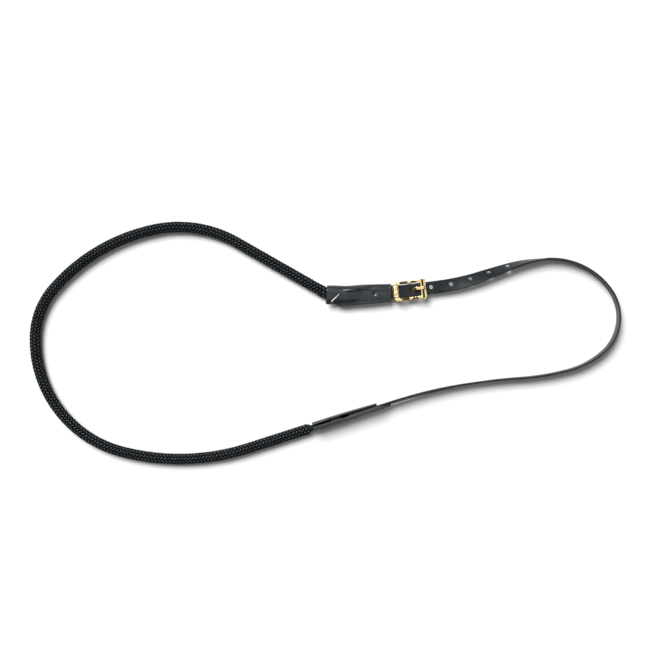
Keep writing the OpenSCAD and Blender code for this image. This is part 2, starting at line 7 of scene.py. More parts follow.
import bpy
import numpy as np
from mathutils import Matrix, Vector


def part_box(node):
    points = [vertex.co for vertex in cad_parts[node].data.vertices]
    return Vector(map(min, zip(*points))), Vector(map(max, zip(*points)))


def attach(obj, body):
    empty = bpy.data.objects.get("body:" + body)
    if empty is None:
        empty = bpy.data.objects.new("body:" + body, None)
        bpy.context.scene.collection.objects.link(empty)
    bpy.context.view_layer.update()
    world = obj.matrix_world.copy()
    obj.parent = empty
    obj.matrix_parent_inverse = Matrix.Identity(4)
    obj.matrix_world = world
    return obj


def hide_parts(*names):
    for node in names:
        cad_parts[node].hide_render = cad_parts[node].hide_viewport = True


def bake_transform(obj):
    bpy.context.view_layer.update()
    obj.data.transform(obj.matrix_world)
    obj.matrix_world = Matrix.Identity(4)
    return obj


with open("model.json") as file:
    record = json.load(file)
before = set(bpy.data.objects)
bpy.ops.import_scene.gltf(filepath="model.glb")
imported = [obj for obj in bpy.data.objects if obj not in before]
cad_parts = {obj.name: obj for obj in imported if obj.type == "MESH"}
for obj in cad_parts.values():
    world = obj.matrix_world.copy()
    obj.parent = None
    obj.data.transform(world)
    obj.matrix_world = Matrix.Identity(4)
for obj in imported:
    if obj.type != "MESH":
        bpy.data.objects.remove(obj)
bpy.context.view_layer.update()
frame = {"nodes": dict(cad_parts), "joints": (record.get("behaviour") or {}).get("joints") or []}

MM = 0.001
bar_low, bar_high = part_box("centre_bar")
ORIGIN = np.array([(bar_low.x + bar_high.x) / 2, (bar_low.y + bar_high.y) / 2, 0.0])
TO_LIGHT = (-0.72, 1.42, 2.05)                 # from the object to the main light


def to_frame(points):
    """Points in the buckle's frame, in mm, as points in the CAD frame, in metres."""
    return np.asarray(points, float) * MM + ORIGIN


def from_frame(points):
    return (points - ORIGIN) / MM


# ---- Sizes shared with the CAD part --------------------------------------------------------------
ROPE_R = 7.0
STRAP_W, STRAP_T = 16.0, 2.5
BAR_Z, STRAP_Z = 5.2, 9.35
HOLE_R, HOLE_PITCH, FIRST_HOLE, FREE_HOLES = 2.1, 25.4, 27.4, 5
ROW_Y = 1.2                                    # the row of holes and the prong lie off the strap's middle
PRONG_HOLE_X, PRONG_HOLE_STRETCH = 3.7, 0.8
TAIL_LEN = 54.0
SKEW = 5.5                                     # between the buckle sleeve and the buckle
LEATHER = 1.8
SLEEVE_A_END, SLEEVE_A_LEN, SLEEVE_A_H, FOLD_Y = 23.5, 82.0, 13.4, 10.0
SLEEVE_B_LEN, SLEEVE_B_POINT, SLEEVE_B_H = 85.0, 17.0, 23.0
SLEEVE_B_T, SLEEVE_B_END_T, SLEEVE_B_TAPER_X = 11.0, 8.2, 42.0
SLEEVE_B_LEAN, SLEEVE_B_SHIFT, SLEEVE_STRAP_Z = 12.0, 0.6, 11.2
ROPE_IN_A, ROPE_IN_B, KINK_R, KINK_INSIDE = 36.0, 38.0, 14.0, 3.0
FLAT_A = (7.4, 4.5)                            # half width and half height of the flattened rope ends
FLAT_B = (3.3, 7.8)
FLAT_B_Z, FLAT_B_SHIFT = 9.9, -0.32
WHIPPING_INSET, WHIPPING_LEN = 2.0, 12.0
STRAP_INSET = 55.0
STITCH_LEN, STITCH_PITCH = 3.0, 4.2


# ---- Lines on the ground: a place is (x, y, heading), a stretch is (length, turn to the left) ------
def arc(radius, turn):
    return (radius * abs(math.radians(turn)), turn)


def step(place, stretch):
    x, y, heading = place
    length, turn = stretch
    if abs(turn) < 1e-9:
        return (x + length * cosd(heading), y + length * sind(heading), heading)
    radius = length / math.radians(turn)
    after = heading + turn
    return (x + radius * (sind(after) - sind(heading)), y - radius * (cosd(after) - cosd(heading)), after)


def cosd(angle):
    return math.cos(math.radians(angle))


def sind(angle):
    return math.sin(math.radians(angle))


def end_of(place, run):
    for stretch in run:
        place = step(place, stretch)
    return place


def run_length(run):
    return sum(length for length, turn in run)


def place_at(place, run, s):
    """The place at distance s along a run; it goes straight on before the start and past the end."""
    for length, turn in run[:-1]:
        if s <= length:
            break
        place, s = step(place, (length, turn)), s - length
    else:
        length, turn = run[-1]
    if s < 0:
        return step(place, (s, 0))
    if s > length:
        return step(step(place, (length, turn)), (s - length, 0))
    return step(place, (s, turn * s / length))


STRAP_RUN = [(38, 0), (52, 12), (40, 0), (46, -14), arc(93, -60.5), arc(59.5, -84.5), arc(108, -25.5),
             arc(336, -11), arc(686, 14)]
ROPE_BENDS = [arc(287, -16), arc(292, -16.5), arc(147, -77.5), arc(96, -38.5), arc(232, -38), arc(149, -41)]
STRAP_OUT = run_length(STRAP_RUN)
FULL_STRAP_RUN = STRAP_RUN + [(SLEEVE_B_LEN + SLEEVE_B_POINT, 0)]
MOUTH_B = end_of((0, 0, 0), FULL_STRAP_RUN)
SLEEVE_A_REACH = SLEEVE_A_END + SLEEVE_A_LEN
MOUTH_A = (-SLEEVE_A_REACH * cosd(SKEW), SLEEVE_A_REACH * sind(SKEW), -SKEW)
SLEEVE_B_PLACE = (MOUTH_B[0], MOUTH_B[1], MOUTH_B[2] + 180)


def close_rope():
    """The rope's run from the strap sleeve's mouth into the buckle sleeve; two straights close the loop."""
    bent = end_of(MOUTH_B, ROPE_BENDS)
    kink = arc(KINK_R, -360 - SKEW - bent[2])
    target = step((0, 0, 180 - SKEW), (SLEEVE_A_REACH - KINK_INSIDE, 0))
    reached = step(bent, kink)
    ways = np.array([[cosd(MOUTH_B[2]), cosd(bent[2])], [sind(MOUTH_B[2]), sind(bent[2])]])
    first, second = np.linalg.solve(ways, [target[0] - reached[0], target[1] - reached[1]])
    return [(first, 0)] + ROPE_BENDS + [(second, 0), kink, (ROPE_IN_A, 0)]


ROPE_RUN = close_rope()
ROPE_END = run_length(ROPE_RUN)
KINK_START = run_length(ROPE_RUN[:-2])


def ease(t):
    c = np.clip(t, 0, 1)
    return c * c * (3 - 2 * c)


def ramp(s, start, end):
    return np.clip((s - start) / (end - start), 0, 1)


def bell(distance, width):
    """1 at no distance, falling off smoothly on both sides."""
    return np.exp(-(distance / width) ** 2)


def left_of(heading):
    return np.array([-sind(heading), cosd(heading), 0.0])


def across(heading, roll):
    return cosd(roll) * left_of(heading) - sind(roll) * np.array([0, 0, 1.0])


def up(heading, roll):
    return sind(roll) * left_of(heading) + cosd(roll) * np.array([0, 0, 1.0])


# ---- Node materials --------------------------------------------------------------------------------
class Shader:
    """A short way to write a node material: each call adds one node and returns its output."""

    def __init__(self, name):
        self.material = bpy.data.materials.new(name)
        self.material.use_nodes = True
        self.tree = self.material.node_tree
        self.bsdf = self.tree.nodes["Principled BSDF"]

    def add(self, kind, inputs=None, **settings):
        node = self.tree.nodes.new(kind)
        for key, value in settings.items():
            setattr(node, key, value)
        for key, value in (inputs or {}).items():
            self.put(node.inputs[key], value)
        return node

    def put(self, socket, value):
        if isinstance(value, bpy.types.NodeSocket):
            self.tree.links.new(value, socket)
        else:
            socket.default_value = value

    def math(self, operation, a, b=0.0):
        return self.add("ShaderNodeMath", {0: a, 1: b}, operation=operation).outputs[0]

    def multiply(self, a, b):
        return self.math("MULTIPLY", a, b)

    def plus(self, a, b):
        return self.math("ADD", a, b)

    def choose(self, second, a, b):
        """a where second is 0, b where it is 1."""
        return self.add("ShaderNodeMix", {0: second, 2: a, 3: b}).outputs[0]

    def pointiness(self):
        return self.add("ShaderNodeNewGeometry").outputs["Pointiness"]

    def coords(self, scale):
        place = self.add("ShaderNodeTexCoord").outputs["Object"]
        return self.add("ShaderNodeMapping", {"Vector": place, "Scale": scale}).outputs[0]

    def noise(self, size_mm, detail, stretch=(1, 1, 1), rough=0.5):
        scale = tuple(1 / (size_mm * MM) * k for k in stretch)
        return self.add("ShaderNodeTexNoise", {
            "Vector": self.coords(scale), "Scale": 1.0,
            "Detail": detail, "Roughness": rough}).outputs["Fac"]

    def cells(self, size_mm, feature="F1"):
        scale = 1 / (size_mm * MM)
        return self.add("ShaderNodeTexVoronoi", {"Vector": self.coords((scale,) * 3), "Scale": 1.0},
                        feature=feature).outputs["Distance"]

    def spread(self, value, low, high, out_low=0.0, out_high=1.0):
        return self.add("ShaderNodeMapRange", {
            "Value": value, "From Min": low, "From Max": high,
            "To Min": out_low, "To Max": out_high}).outputs["Result"]

    def blend(self, factor, a, b):
        """The colour a where the factor is 0, b where it is 1."""
        node = self.add("ShaderNodeMix", data_type="RGBA")
        self.put(node.inputs[0], factor)
        self.put(node.inputs[6], a)
        self.put(node.inputs[7], b)
        return node.outputs[2]

    def bump(self, height, depth_mm, normal=None):
        inputs = {"Height": height, "Distance": depth_mm * MM, "Strength": 1.0}
        if normal is not None:
            inputs["Normal"] = normal
        return self.add("ShaderNodeBump", inputs).outputs["Normal"]

    def finish(self, **inputs):
        for key, value in inputs.items():
            self.put(self.bsdf.inputs[key.replace("_", " ")], value)
        return self.material


def rgb(red, green, blue):
    return (red, green, blue, 1)


def grey(value, warm=0.0):
    return rgb(value * (1 + warm), value, value * (1 - warm))


def leather_face(name, shine, gloss):
    """Dyed grain side: pores, pebbles and wrinkles, and paler where sharp edges are rubbed."""
    m = Shader(name)
    pores = m.cells(0.55)
    pebble = m.cells(1.1, "SMOOTH_F1")
    wrinkle = m.noise(3.5, 4, (0.45, 1.6, 1))
    cloudy = m.noise(14, 3)
    base = m.blend(m.spread(cloudy, 0.35, 0.65), rgb(0.0125, 0.016, 0.0185), rgb(0.02, 0.0245, 0.0275))
    base = m.blend(m.spread(pores, 0.0, 0.28, 0.35, 0.0), base, rgb(0.010, 0.012, 0.014))
    rubbed = m.spread(m.pointiness(), 0.53, 0.64)
    base = m.blend(m.multiply(rubbed, 0.5), base, rgb(0.10, 0.105, 0.11))
    normal = m.bump(wrinkle, 0.22)
    normal = m.bump(pebble, 0.07, normal)
    normal = m.bump(pores, 0.05, normal)
    rough = m.spread(m.noise(5, 4), 0.3, 0.7, 0.28, 0.40)
    return m.finish(Base_Color=base, Roughness=rough, Normal=normal, Specular_IOR_Level=shine,
                    Coat_Weight=gloss, Coat_Roughness=0.17)


def leather_flesh():
    m = Shader("leather_flesh")
    nap = m.noise(0.5, 6, rough=0.7)
    base = m.blend(nap, rgb(0.014, 0.015, 0.016), rgb(0.045, 0.046, 0.047))
    return m.finish(Base_Color=base, Roughness=0.92, Normal=m.bump(nap, 0.3), Sheen_Weight=0.15)


def leather_edge(name, dark, light):
    m = Shader(name)
    fibres = m.noise(0.9, 6, (1, 1, 2.5), rough=0.7)
    patches = m.noise(9, 2)
    base = m.blend(fibres, dark, light)
    base = m.blend(m.multiply(m.spread(patches, 0.4, 0.7), 0.7), base, dark)
    return m.finish(Base_Color=base, Roughness=0.7, Normal=m.bump(fibres, 0.15))


YARNS = 5.0                                    # side by side in one strand


def braid():
    """The UV of the rope counts strands: u along one set of strands, v along the other."""
    m = Shader("rope_braid")
    parts = m.add("ShaderNodeSeparateXYZ", {0: m.add("ShaderNodeTexCoord").outputs["UV"]})
    p, q = parts.outputs[0], parts.outputs[1]
    p_strand, q_strand = m.math("FLOOR", p), m.math("FLOOR", q)
    crossing = m.math("FLOORED_MODULO", m.plus(p_strand, q_strand), 4.0)
    q_on_top = m.math("GREATER_THAN", crossing, 1.5)
    side = m.choose(q_on_top, m.math("FRACT", p), m.math("FRACT", q))
    along = m.choose(q_on_top, q, p)
    rounded = m.math("PINGPONG", side, 0.5)
    yarn = m.math("PINGPONG", m.multiply(side, YARNS), 0.5)
    twist = m.math("SINE", m.multiply(m.plus(m.multiply(side, 9.0), along), 26.0))
    p_float = m.math("FLOORED_MODULO", m.plus(p_strand, q), 4.0)
    q_float = m.math("FLOORED_MODULO", m.plus(p, q_strand), 4.0)
    along_float = m.math("PINGPONG", m.choose(q_on_top, p_float, q_float), 1.0)
    # painted highlight mask: the crown of each strand where it lies on top of the other set
    crown = m.multiply(m.spread(rounded, 0.3, 0.4), m.spread(along_float, 0.25, 0.45))
    crossing_id = m.add("ShaderNodeCombineXYZ", {0: p_strand, 1: q_strand, 2: q_on_top}).outputs[0]
    chance = m.add("ShaderNodeTexWhiteNoise", {"Vector": crossing_id}).outputs["Value"]
    uneven = m.spread(chance, 0.0, 1.0, 0.55, 1.0)
    # painted highlight on strand crowns (pale), painted shade elsewhere and between strands (near black)
    base = m.blend(m.multiply(crown, uneven), rgb(0.0003, 0.0005, 0.0007), rgb(0.132, 0.157, 0.174))
    normal = m.bump(rounded, 0.5)
    normal = m.bump(yarn, 0.35, normal)
    normal = m.bump(twist, 0.03, normal)
    return m.finish(Base_Color=base, Roughness=0.5, Normal=normal, Specular_IOR_Level=0.08)


def yarn_core():
    m = Shader("rope_core")
    tufts = m.cells(0.8)
    base = m.blend(tufts, rgb(0.5, 0.48, 0.43), rgb(0.3, 0.285, 0.25))
    return m.finish(Base_Color=base, Roughness=0.9, Normal=m.bump(tufts, 0.4), Sheen_Weight=0.3)


def thread(name, dark, light):
    m = Shader(name)
    plies = m.noise(0.35, 2, (2.2, 1, 1))
    base = m.blend(plies, dark, light)
    return m.finish(Base_Color=base, Roughness=0.55, Normal=m.bump(plies, 0.12), Sheen_Weight=0.3)


def brass():
    """Polished yellow metal, darker in recesses, with painted shade where carve_buckle marks its cuts."""
    m = Shader("brass")
    tarnish = m.noise(6, 4)
    scratches = m.noise(1.6, 3, (0.12, 2.5, 1))
    pits = m.noise(0.5, 4)
    dents = m.noise(4.5, 2)
    recess = m.spread(m.pointiness(), 0.42, 0.5, 1.0, 0.0)
    base = m.blend(m.spread(tarnish, 0.35, 0.7), rgb(0.98, 0.80, 0.45), rgb(0.90, 0.66, 0.30))
    # painted shade: the carved groove and hatching get the dark colour so that they read as shaded
    painted_shade = m.add("ShaderNodeAttribute", attribute_name="painted_shade").outputs["Fac"]
    dark = m.math("MAXIMUM", m.multiply(recess, 0.75), m.multiply(painted_shade, 0.9))
    base = m.blend(dark, base, rgb(0.12, 0.06, 0.015))
    rough = m.plus(m.spread(scratches, 0.3, 0.7, 0.06, 0.15), m.multiply(pits, 0.06))
    normal = m.bump(dents, 0.6)
    normal = m.bump(scratches, 0.02, normal)
    normal = m.bump(pits, 0.01, normal)
    return m.finish(Base_Color=base, Metallic=1.0, Roughness=rough, Normal=normal)


FACE = leather_face("leather_face", 0.13, 0.02)
GLOSSY_FACE = leather_face("leather_glossy", 0.24, 0.42)
FLESH = leather_flesh()
EDGE = leather_edge("leather_edge", rgb(0.003, 0.004, 0.005), rgb(0.015, 0.019, 0.023))
# painted highlight: a paler copy of the dark edge finish, for the strap sleeve's top edges
PAINTED_LIT_EDGE = leather_edge("leather_edge_painted_highlight", rgb(0.027, 0.033, 0.039), rgb(0.125, 0.148, 0.170))
# paler cut leather, whitened further as painted light: the lit floor seen through the holes
RAW_EDGE_AND_PAINTED_LIGHT = leather_edge("leather_raw_edge_painted_light", grey(0.45), grey(0.95))
BRAID_WITH_PAINTED_LIGHT, CORE = braid(), yarn_core()
BLACK_THREAD = thread("black_thread", grey(0.008), grey(0.05))
PALE_THREAD = thread("pale_thread", grey(0.8, 0.01), grey(1.0))
BRASS = brass()


# ---- Mesh helpers ----------------------------------------------------------------------------------
SHARP = 40                                     # degrees between faces from which an edge stays sharp


def build(name, points, faces, materials, face_material=None, sharp=SHARP):
    """A piece from points in mm in the buckle's frame."""
    mesh = bpy.data.meshes.new(name)
    mesh.from_pydata(to_frame(points).tolist(), [], [list(map(int, f)) for f in faces])
    for material in materials:
        mesh.materials.append(material)
    if face_material is not None:
        mesh.polygons.foreach_set("material_index", np.asarray(face_material, np.int32))
    mesh.shade_smooth()
    if sharp:
        mesh.set_sharp_from_angle(angle=math.radians(sharp))
    mesh.update()
    piece = bpy.data.objects.new(name, mesh)
    bpy.context.scene.collection.objects.link(piece)
    return piece


def read(items, name, width, kind=float):
    """One number or vector for each of a mesh's items."""
    values = np.zeros(len(items) * width, kind)
    items.foreach_get(name, values)
    return values.reshape(-1, width)


def apply_modifiers(piece):
    """The piece's mesh becomes what its modifiers make."""
    graph = bpy.context.evaluated_depsgraph_get()
    made = bpy.data.meshes.new_from_object(piece.evaluated_get(graph))
    piece.modifiers.clear()
    old, piece.data = piece.data, made
    bpy.data.meshes.remove(old)
    return piece


def join_parts(parts):
    """One (points, faces) pair from many."""
    points, faces, count = [], [], 0
    for part_points, part_faces in parts:
        points.append(part_points)
        faces.extend([[i + count for i in face] for face in part_faces])
        count += len(part_points)
    return np.concatenate(points), faces


def grid_faces(rows, columns, base=0, flip=False):
    faces = []
    for i in range(rows - 1):
        for j in range(columns - 1):
            a = base + i * columns + j
            face = [a, a + columns, a + columns + 1, a + 1]
            faces.append(face[::-1] if flip else face)
    return faces


def distance_to_rim(middle):
    """For each point of a grid, the distance along the sheet to its nearest rim."""
    def along(axis):
        steps = np.linalg.norm(np.diff(middle, axis=axis), axis=2)
        pad = [(0, 0), (0, 0)]
        pad[axis] = (1, 0)
        run = np.cumsum(np.pad(steps, pad), axis=axis)
        total = run[-1:, :] if axis == 0 else run[:, -1:]
        return np.minimum(run, total - run)
    return np.minimum(along(0), along(1))


def sheet(name, middle, thickness, rim=0.62, rounding=0.8, relief=None, face=FACE, edge=EDGE):
    """A thick sheet round a grid of middle points, thinning to rim * thickness at its cut edges.

    The grain is on the side of cross(step from row to row, step from column to column). relief raises
    or sinks the grain side only.
    """
    rows, columns = middle.shape[:2]
    normal = np.cross(np.gradient(middle, axis=0), np.gradient(middle, axis=1))
    normal /= np.linalg.norm(normal, axis=2, keepdims=True)
    t = np.clip(distance_to_rim(middle) / rounding, 0, 1)
    half = thickness / 2 * (rim + (1 - rim) * np.sqrt(1 - (1 - t) ** 2))
    top = half + (relief if relief is not None else 0)
    outer = (middle + normal * top[..., None]).reshape(-1, 3)
    inner = (middle - normal * half[..., None]).reshape(-1, 3)
    count = rows * columns
    faces = grid_faces(rows, columns) + grid_faces(rows, columns, count, flip=True)
    finish = [0] * (len(faces) // 2) + [1] * (len(faces) // 2)
    rim_line = (list(range(columns)) + [i * columns + columns - 1 for i in range(1, rows)]
                + [(rows - 1) * columns + j for j in range(columns - 2, -1, -1)]
                + [i * columns for i in range(rows - 2, 0, -1)])
    for k, a in enumerate(rim_line):
        b = rim_line[(k + 1) % len(rim_line)]
        faces.append([a, b, b + count, a + count])
        finish.append(2)
    piece = build(name, np.concatenate([outer, inner]), faces, [face, FLESH, edge, RAW_EDGE_AND_PAINTED_LIGHT], finish)
    return piece


RIM_STEPS = np.array([0.0, 0.12, 0.35, 0.8])   # distances from a rim at which its rounding has points


def rim_spaced(start, end, gap):
    """Distances from start to end, closer together at both ends so that edges round off."""
    clear = 2 * RIM_STEPS[-1]
    inner = np.linspace(start + clear, end - clear, max(2, int((end - start - 2 * clear) / gap)))
    return np.concatenate([start + RIM_STEPS, inner, end - RIM_STEPS[::-1]])


def dense_ends(steps, inner, count):
    """Values from -1 to 1, even between -inner and inner; steps are the distances from -1 and 1 outside."""
    near = 1 - np.array(steps)
    return np.concatenate([-near, np.linspace(-inner, inner, count), near[::-1]])


HOLE_SLANT = 0.28                              # the punch went in at a slant, so one wall of a hole shows
HOLE_CRUMBLED, HOLE_CLOSED = 0.75, 0.95        # a hole is this much wider outside and narrower inside


def punched_hole(outside, inside):
    """A cutter for a worn hole through a sheet, from a point on its grain side to one on its flesh side."""
    outside, inside = np.asarray(outside, float), np.asarray(inside, float)
    way = outside - inside
    lean = np.array([TO_LIGHT[0], TO_LIGHT[1], 0])
    lean -= way * (lean @ way) / (way @ way)
    lean *= HOLE_SLANT / np.linalg.norm(lean)
    return cylinder_between(outside + way - 3 * lean, inside - way + 3 * lean, HOLE_R + HOLE_CRUMBLED,
                            far_radius=HOLE_R - HOLE_CLOSED)


CYLINDER_SIDES = 32


def cylinder_between(a, b, radius, far_radius=None):
    a, b = np.asarray(a, float), np.asarray(b, float)
    axis = (b - a) / np.linalg.norm(b - a)
    side = np.cross(axis, [0.3, 0.5, 0.81])
    side /= np.linalg.norm(side)
    other = np.cross(axis, side)
    turn = np.linspace(0, 2 * math.pi, CYLINDER_SIDES, endpoint=False)
    ring = np.outer(np.cos(turn), side) + np.outer(np.sin(turn), other)
    n = CYLINDER_SIDES
    faces = [[i, (i + 1) % n, n + (i + 1) % n, n + i] for i in range(n)]
    faces += [list(range(n))[::-1], [n + i for i in range(n)]]
    far = radius if far_radius is None else far_radius
    return np.concatenate([ring * radius + a, ring * far + b]), faces


# by default a hole's walls take the pale raw edge, which holds painted light
def punch(piece, cutters, wall=RAW_EDGE_AND_PAINTED_LIGHT):
    """Cuts the cutters' shapes out of a leather piece. The walls of the cut get the wall's finish."""
    points, faces = join_parts(cutters)
    leather = list(piece.data.materials)
    cutter = build("cutter", points, faces, leather, [leather.index(wall)] * len(faces))
    cut = piece.modifiers.new("punch", "BOOLEAN")
    cut.operation = "DIFFERENCE"
    cut.solver = "EXACT"
    cut.object = cutter
    apply_modifiers(piece)
    bpy.data.objects.remove(cutter)
    return piece


def tube_along(path, radius, sides, taper=None):
    """A tube round a line of points, closed at both ends. taper scales its radius at each point."""
    path = np.asarray(path, float)
    way = np.gradient(path, axis=0)
    way /= np.linalg.norm(way, axis=1, keepdims=True)
    side = np.cross(way, [0.0, 0.0, 1.0])
    upright = np.linalg.norm(side, axis=1) < 1e-6
    side[upright] = [1.0, 0.0, 0.0]
    side /= np.linalg.norm(side, axis=1, keepdims=True)
    other = np.cross(side, way)
    size = np.full(len(path), radius) if taper is None else radius * np.asarray(taper)
    turn = np.linspace(0, 2 * math.pi, sides, endpoint=False)[None, :, None]
    points = path[:, None] + size[:, None, None] * (np.cos(turn) * side[:, None]
                                                    + np.sin(turn) * other[:, None])
    faces = []
    for i in range(len(path) - 1):
        for k in range(sides):
            m = (k + 1) % sides
            faces.append([i * sides + k, i * sides + m, (i + 1) * sides + m, (i + 1) * sides + k])
    last = (len(path) - 1) * sides
    faces += [list(range(sides))[::-1], [last + k for k in range(sides)]]
    return points.reshape(-1, 3), faces


def sewn(name, threads, node, material=BLACK_THREAD):
    """Lengths of thread as one piece, in the place of a CAD node."""
    points, faces = join_parts(threads)
    piece = build(name, points, faces, [material], sharp=None)
    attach(piece, "root")
    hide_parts(node)


# ---- Rope ------------------------------------------------------------------------------------------
STRANDS = 10                                   # strands that turn each way
LAY = 44.0                                     # length in which a strand goes once round
FINE = 6                                       # mesh steps across one strand
BRAID_DEPTH = 1.3                              # between a strand's crown and the gap beside it
PROUD = 0.05                                   # crowns stand this far outside the CAD rope
UNEVEN = 0.08                                  # height of the slow waves along the rope
END_BULGE = 1.2                                # height of the cone on a cut end
ROPE_SIDES = STRANDS * FINE
ROPE_STEP = LAY / (2 * ROPE_SIDES)             # between rings; every second one is turned by half a side
ROPE_RINGS = int((ROPE_END + ROPE_IN_B) / ROPE_STEP)


def ring_place(k):
    """Distance of ring k from the strap sleeve's mouth."""
    return k * ROPE_STEP - ROPE_IN_B


def rope_station(s):
    """Centre, two half axes and their sizes at distance s from the strap sleeve's mouth."""
    x, y, heading = place_at(MOUTH_B, ROPE_RUN, s)
    near_b = ease(ramp(s, 9, 0.5))
    near_a = ease(ramp(s, KINK_START - 11, KINK_START - 1))
    wide = ROPE_R + (FLAT_B[0] - ROPE_R) * near_b + (FLAT_A[0] - ROPE_R) * near_a
    high = ROPE_R + (FLAT_B[1] - ROPE_R) * near_b + (FLAT_A[1] - ROPE_R) * near_a
    z = ROPE_R + (FLAT_B_Z - ROPE_R) * near_b + (SLEEVE_A_H / 2 - ROPE_R) * near_a
    roll = -SLEEVE_B_LEAN * near_b
    centre = np.array([x, y, z]) + left_of(heading) * FLAT_B_SHIFT * near_b
    return centre, across(heading, roll), up(heading, roll), wide, high


def braid_height(p, q):
    """0 between strands, 1 on the crown of the strand on top. Strands pass over two and under two."""
    i, j = np.floor(p + 1e-6), np.floor(q + 1e-6)
    q_top = np.mod(i + j, 4) > 1.5
    over = np.where(q_top, (np.mod(p + j, 4) - 2) / 2, np.mod(i + q, 4) / 2)
    side = np.where(q_top, q - j, p - i)
    crown = np.sqrt(np.clip(1 - (2 * np.clip(side, 0, 1) - 1) ** 2, 0, 1))
    return crown * np.sin(math.pi * np.clip(over, 0, 1)) ** 0.4


def rope_skin():
    """The rings' points, and for each point how many strands of both sets it is from the first one."""
    column = np.arange(ROPE_SIDES)
    points = np.zeros((ROPE_RINGS, ROPE_SIDES, 3))
    counts = np.zeros((ROPE_RINGS, ROPE_SIDES, 2))
    for k in range(ROPE_RINGS):
        s = ring_place(k)
        centre, side, top, wide, high = rope_station(s)
        turn = (column + 0.5 * (k % 2)) / ROPE_SIDES
        p = STRANDS * (turn + k * ROPE_STEP / LAY)
        q = STRANDS * (turn - k * ROPE_STEP / LAY)
        uneven = UNEVEN * np.sin(s / 7.3) * np.sin(s / 2.9 + 4 * math.pi * turn)
        drop = BRAID_DEPTH * (1 - braid_height(p, q)) - PROUD - uneven
        angle = 2 * math.pi * turn
        points[k] = (centre + ((wide - drop) * np.cos(angle))[:, None] * side
                     + ((high - drop) * np.sin(angle))[:, None] * top)
        counts[k] = np.stack([p, q], axis=1)
    return points, counts


def rope_skin_faces():
    """Diamonds that follow the strands, and triangles that fill up the first and the last ring."""
    n = ROPE_SIDES
    faces = []
    for k in range(ROPE_RINGS - 2):
        for j in range(n):
            after, before = (j + k % 2) % n, (j + k % 2 - 1) % n
            faces.append([k * n + j, (k + 1) * n + after, (k + 2) * n + j, (k + 1) * n + before])
    for k, inner, order in ((0, 1, 1), (ROPE_RINGS - 1, ROPE_RINGS - 2, -1)):
        for j in range(n):
            a, b, c = k * n + j, k * n + (j + 1) % n, inner * n + (j + k % 2) % n
            faces.append([a, b, c] if order > 0 else [a, c, b])
    return faces


def rope_end(ring, k, out, first):
    """The cut end on ring k: a slope inwards in the cover's finish, then a blunt cone of core."""
    centre = ring.mean(axis=0)
    heading = place_at(MOUTH_B, ROPE_RUN, ring_place(k))[2]
    tip = centre + out * END_BULGE * np.array([cosd(heading), sind(heading), 0])
    inset = centre + (ring - centre) * 0.8 + (tip - centre) * 0.6
    n = ROPE_SIDES
    faces = []
    for j in range(n):
        m = (j + 1) % n
        slope = [k * n + j, k * n + m, first + m, first + j]
        fan = [first + j, first + m, first + n]
        faces += [slope[::out], fan[::out]]
    return np.concatenate([inset, [tip]]), faces


def write_strand_counts(mesh, counts):
    """The strand counts become the UV. A face across the seam counts on past the full turn."""
    totals = read(mesh.polygons, "loop_total", 1, np.int32).ravel()
    face = np.repeat(np.arange(len(totals)), totals)
    corner = read(mesh.loops, "vertex_index", 1, np.int32).ravel()
    count = counts[np.minimum(corner, len(counts) - 1)]
    both = count.sum(axis=1)                   # grows by 2 * STRANDS round the rope
    lowest = np.full(len(totals), np.inf)
    np.minimum.at(lowest, face, both)
    highest = np.full(len(totals), -np.inf)
    np.maximum.at(highest, face, both)
    wrapped = both - lowest[face] < STRANDS
    seam = (highest - lowest)[face] > STRANDS
    count += np.where(seam & wrapped, STRANDS, 0)[:, None]
    uv = mesh.uv_layers.new(name="strands")
    uv.data.foreach_set("uv", count.astype(np.float32).ravel())


def make_rope():
    rings, counts = rope_skin()
    points, faces = rings.reshape(-1, 3), rope_skin_faces()
    finish = [0] * len(faces)
    for k, out in ((0, -1), (ROPE_RINGS - 1, 1)):
        end_points, end_faces = rope_end(rings[k], k, out, len(points))
        points = np.concatenate([points, end_points])
        faces += end_faces
        finish += [0, 1] * ROPE_SIDES
    piece = build("rope", points, faces, [BRAID_WITH_PAINTED_LIGHT, CORE], finish, sharp=None)
    write_strand_counts(piece.data, counts.reshape(-1, 2))
    return piece


WOUND_PITCH, WOUND_R = 0.9, 0.42
WOUND_OUT = 0.22                               # from the rope's outside to the middle of the thread


def wound_thread(name, s_from, node):
    """Thread wound round the rope's end in close turns."""
    per_turn = 40
    turns = WHIPPING_LEN / WOUND_PITCH
    path = []
    for i in range(int(turns * per_turn) + 1):
        centre, side, top, wide, high = rope_station(s_from + WOUND_PITCH * i / per_turn)
        angle = 2 * math.pi * i / per_turn
        path.append(centre + side * (wide + WOUND_OUT) * math.cos(angle)
                    + top * (high + WOUND_OUT) * math.sin(angle))
    sewn(name, [tube_along(path, WOUND_R, sides=6)], node)


rope = make_rope()
fold = next(j for j in frame["joints"] if j["name"] == "rope_fold")
fold_pos, fold_axis = np.array(fold["pos_m"]), np.array(fold["axis"])
toward_bight = np.cross([0, 0, 1.0], fold_axis)
bight_low, bight_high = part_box("rope_cover_bight")
if (np.array((bight_low + bight_high) / 2) - fold_pos) @ toward_bight < 0:
    toward_bight = -toward_bight
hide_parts("rope_cover_bight", "rope_core_bight", "rope_cover_buckle_end", "rope_core_buckle_end",
            "rope_cover_strap_end", "rope_core_strap_end")
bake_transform(rope)

wound_thread("whipping_in_strap_sleeve", WHIPPING_INSET - ROPE_IN_B, "whipping_strap_end")
wound_thread("whipping_in_buckle_sleeve", ROPE_END - WHIPPING_INSET - WHIPPING_LEN, "whipping_buckle_end")


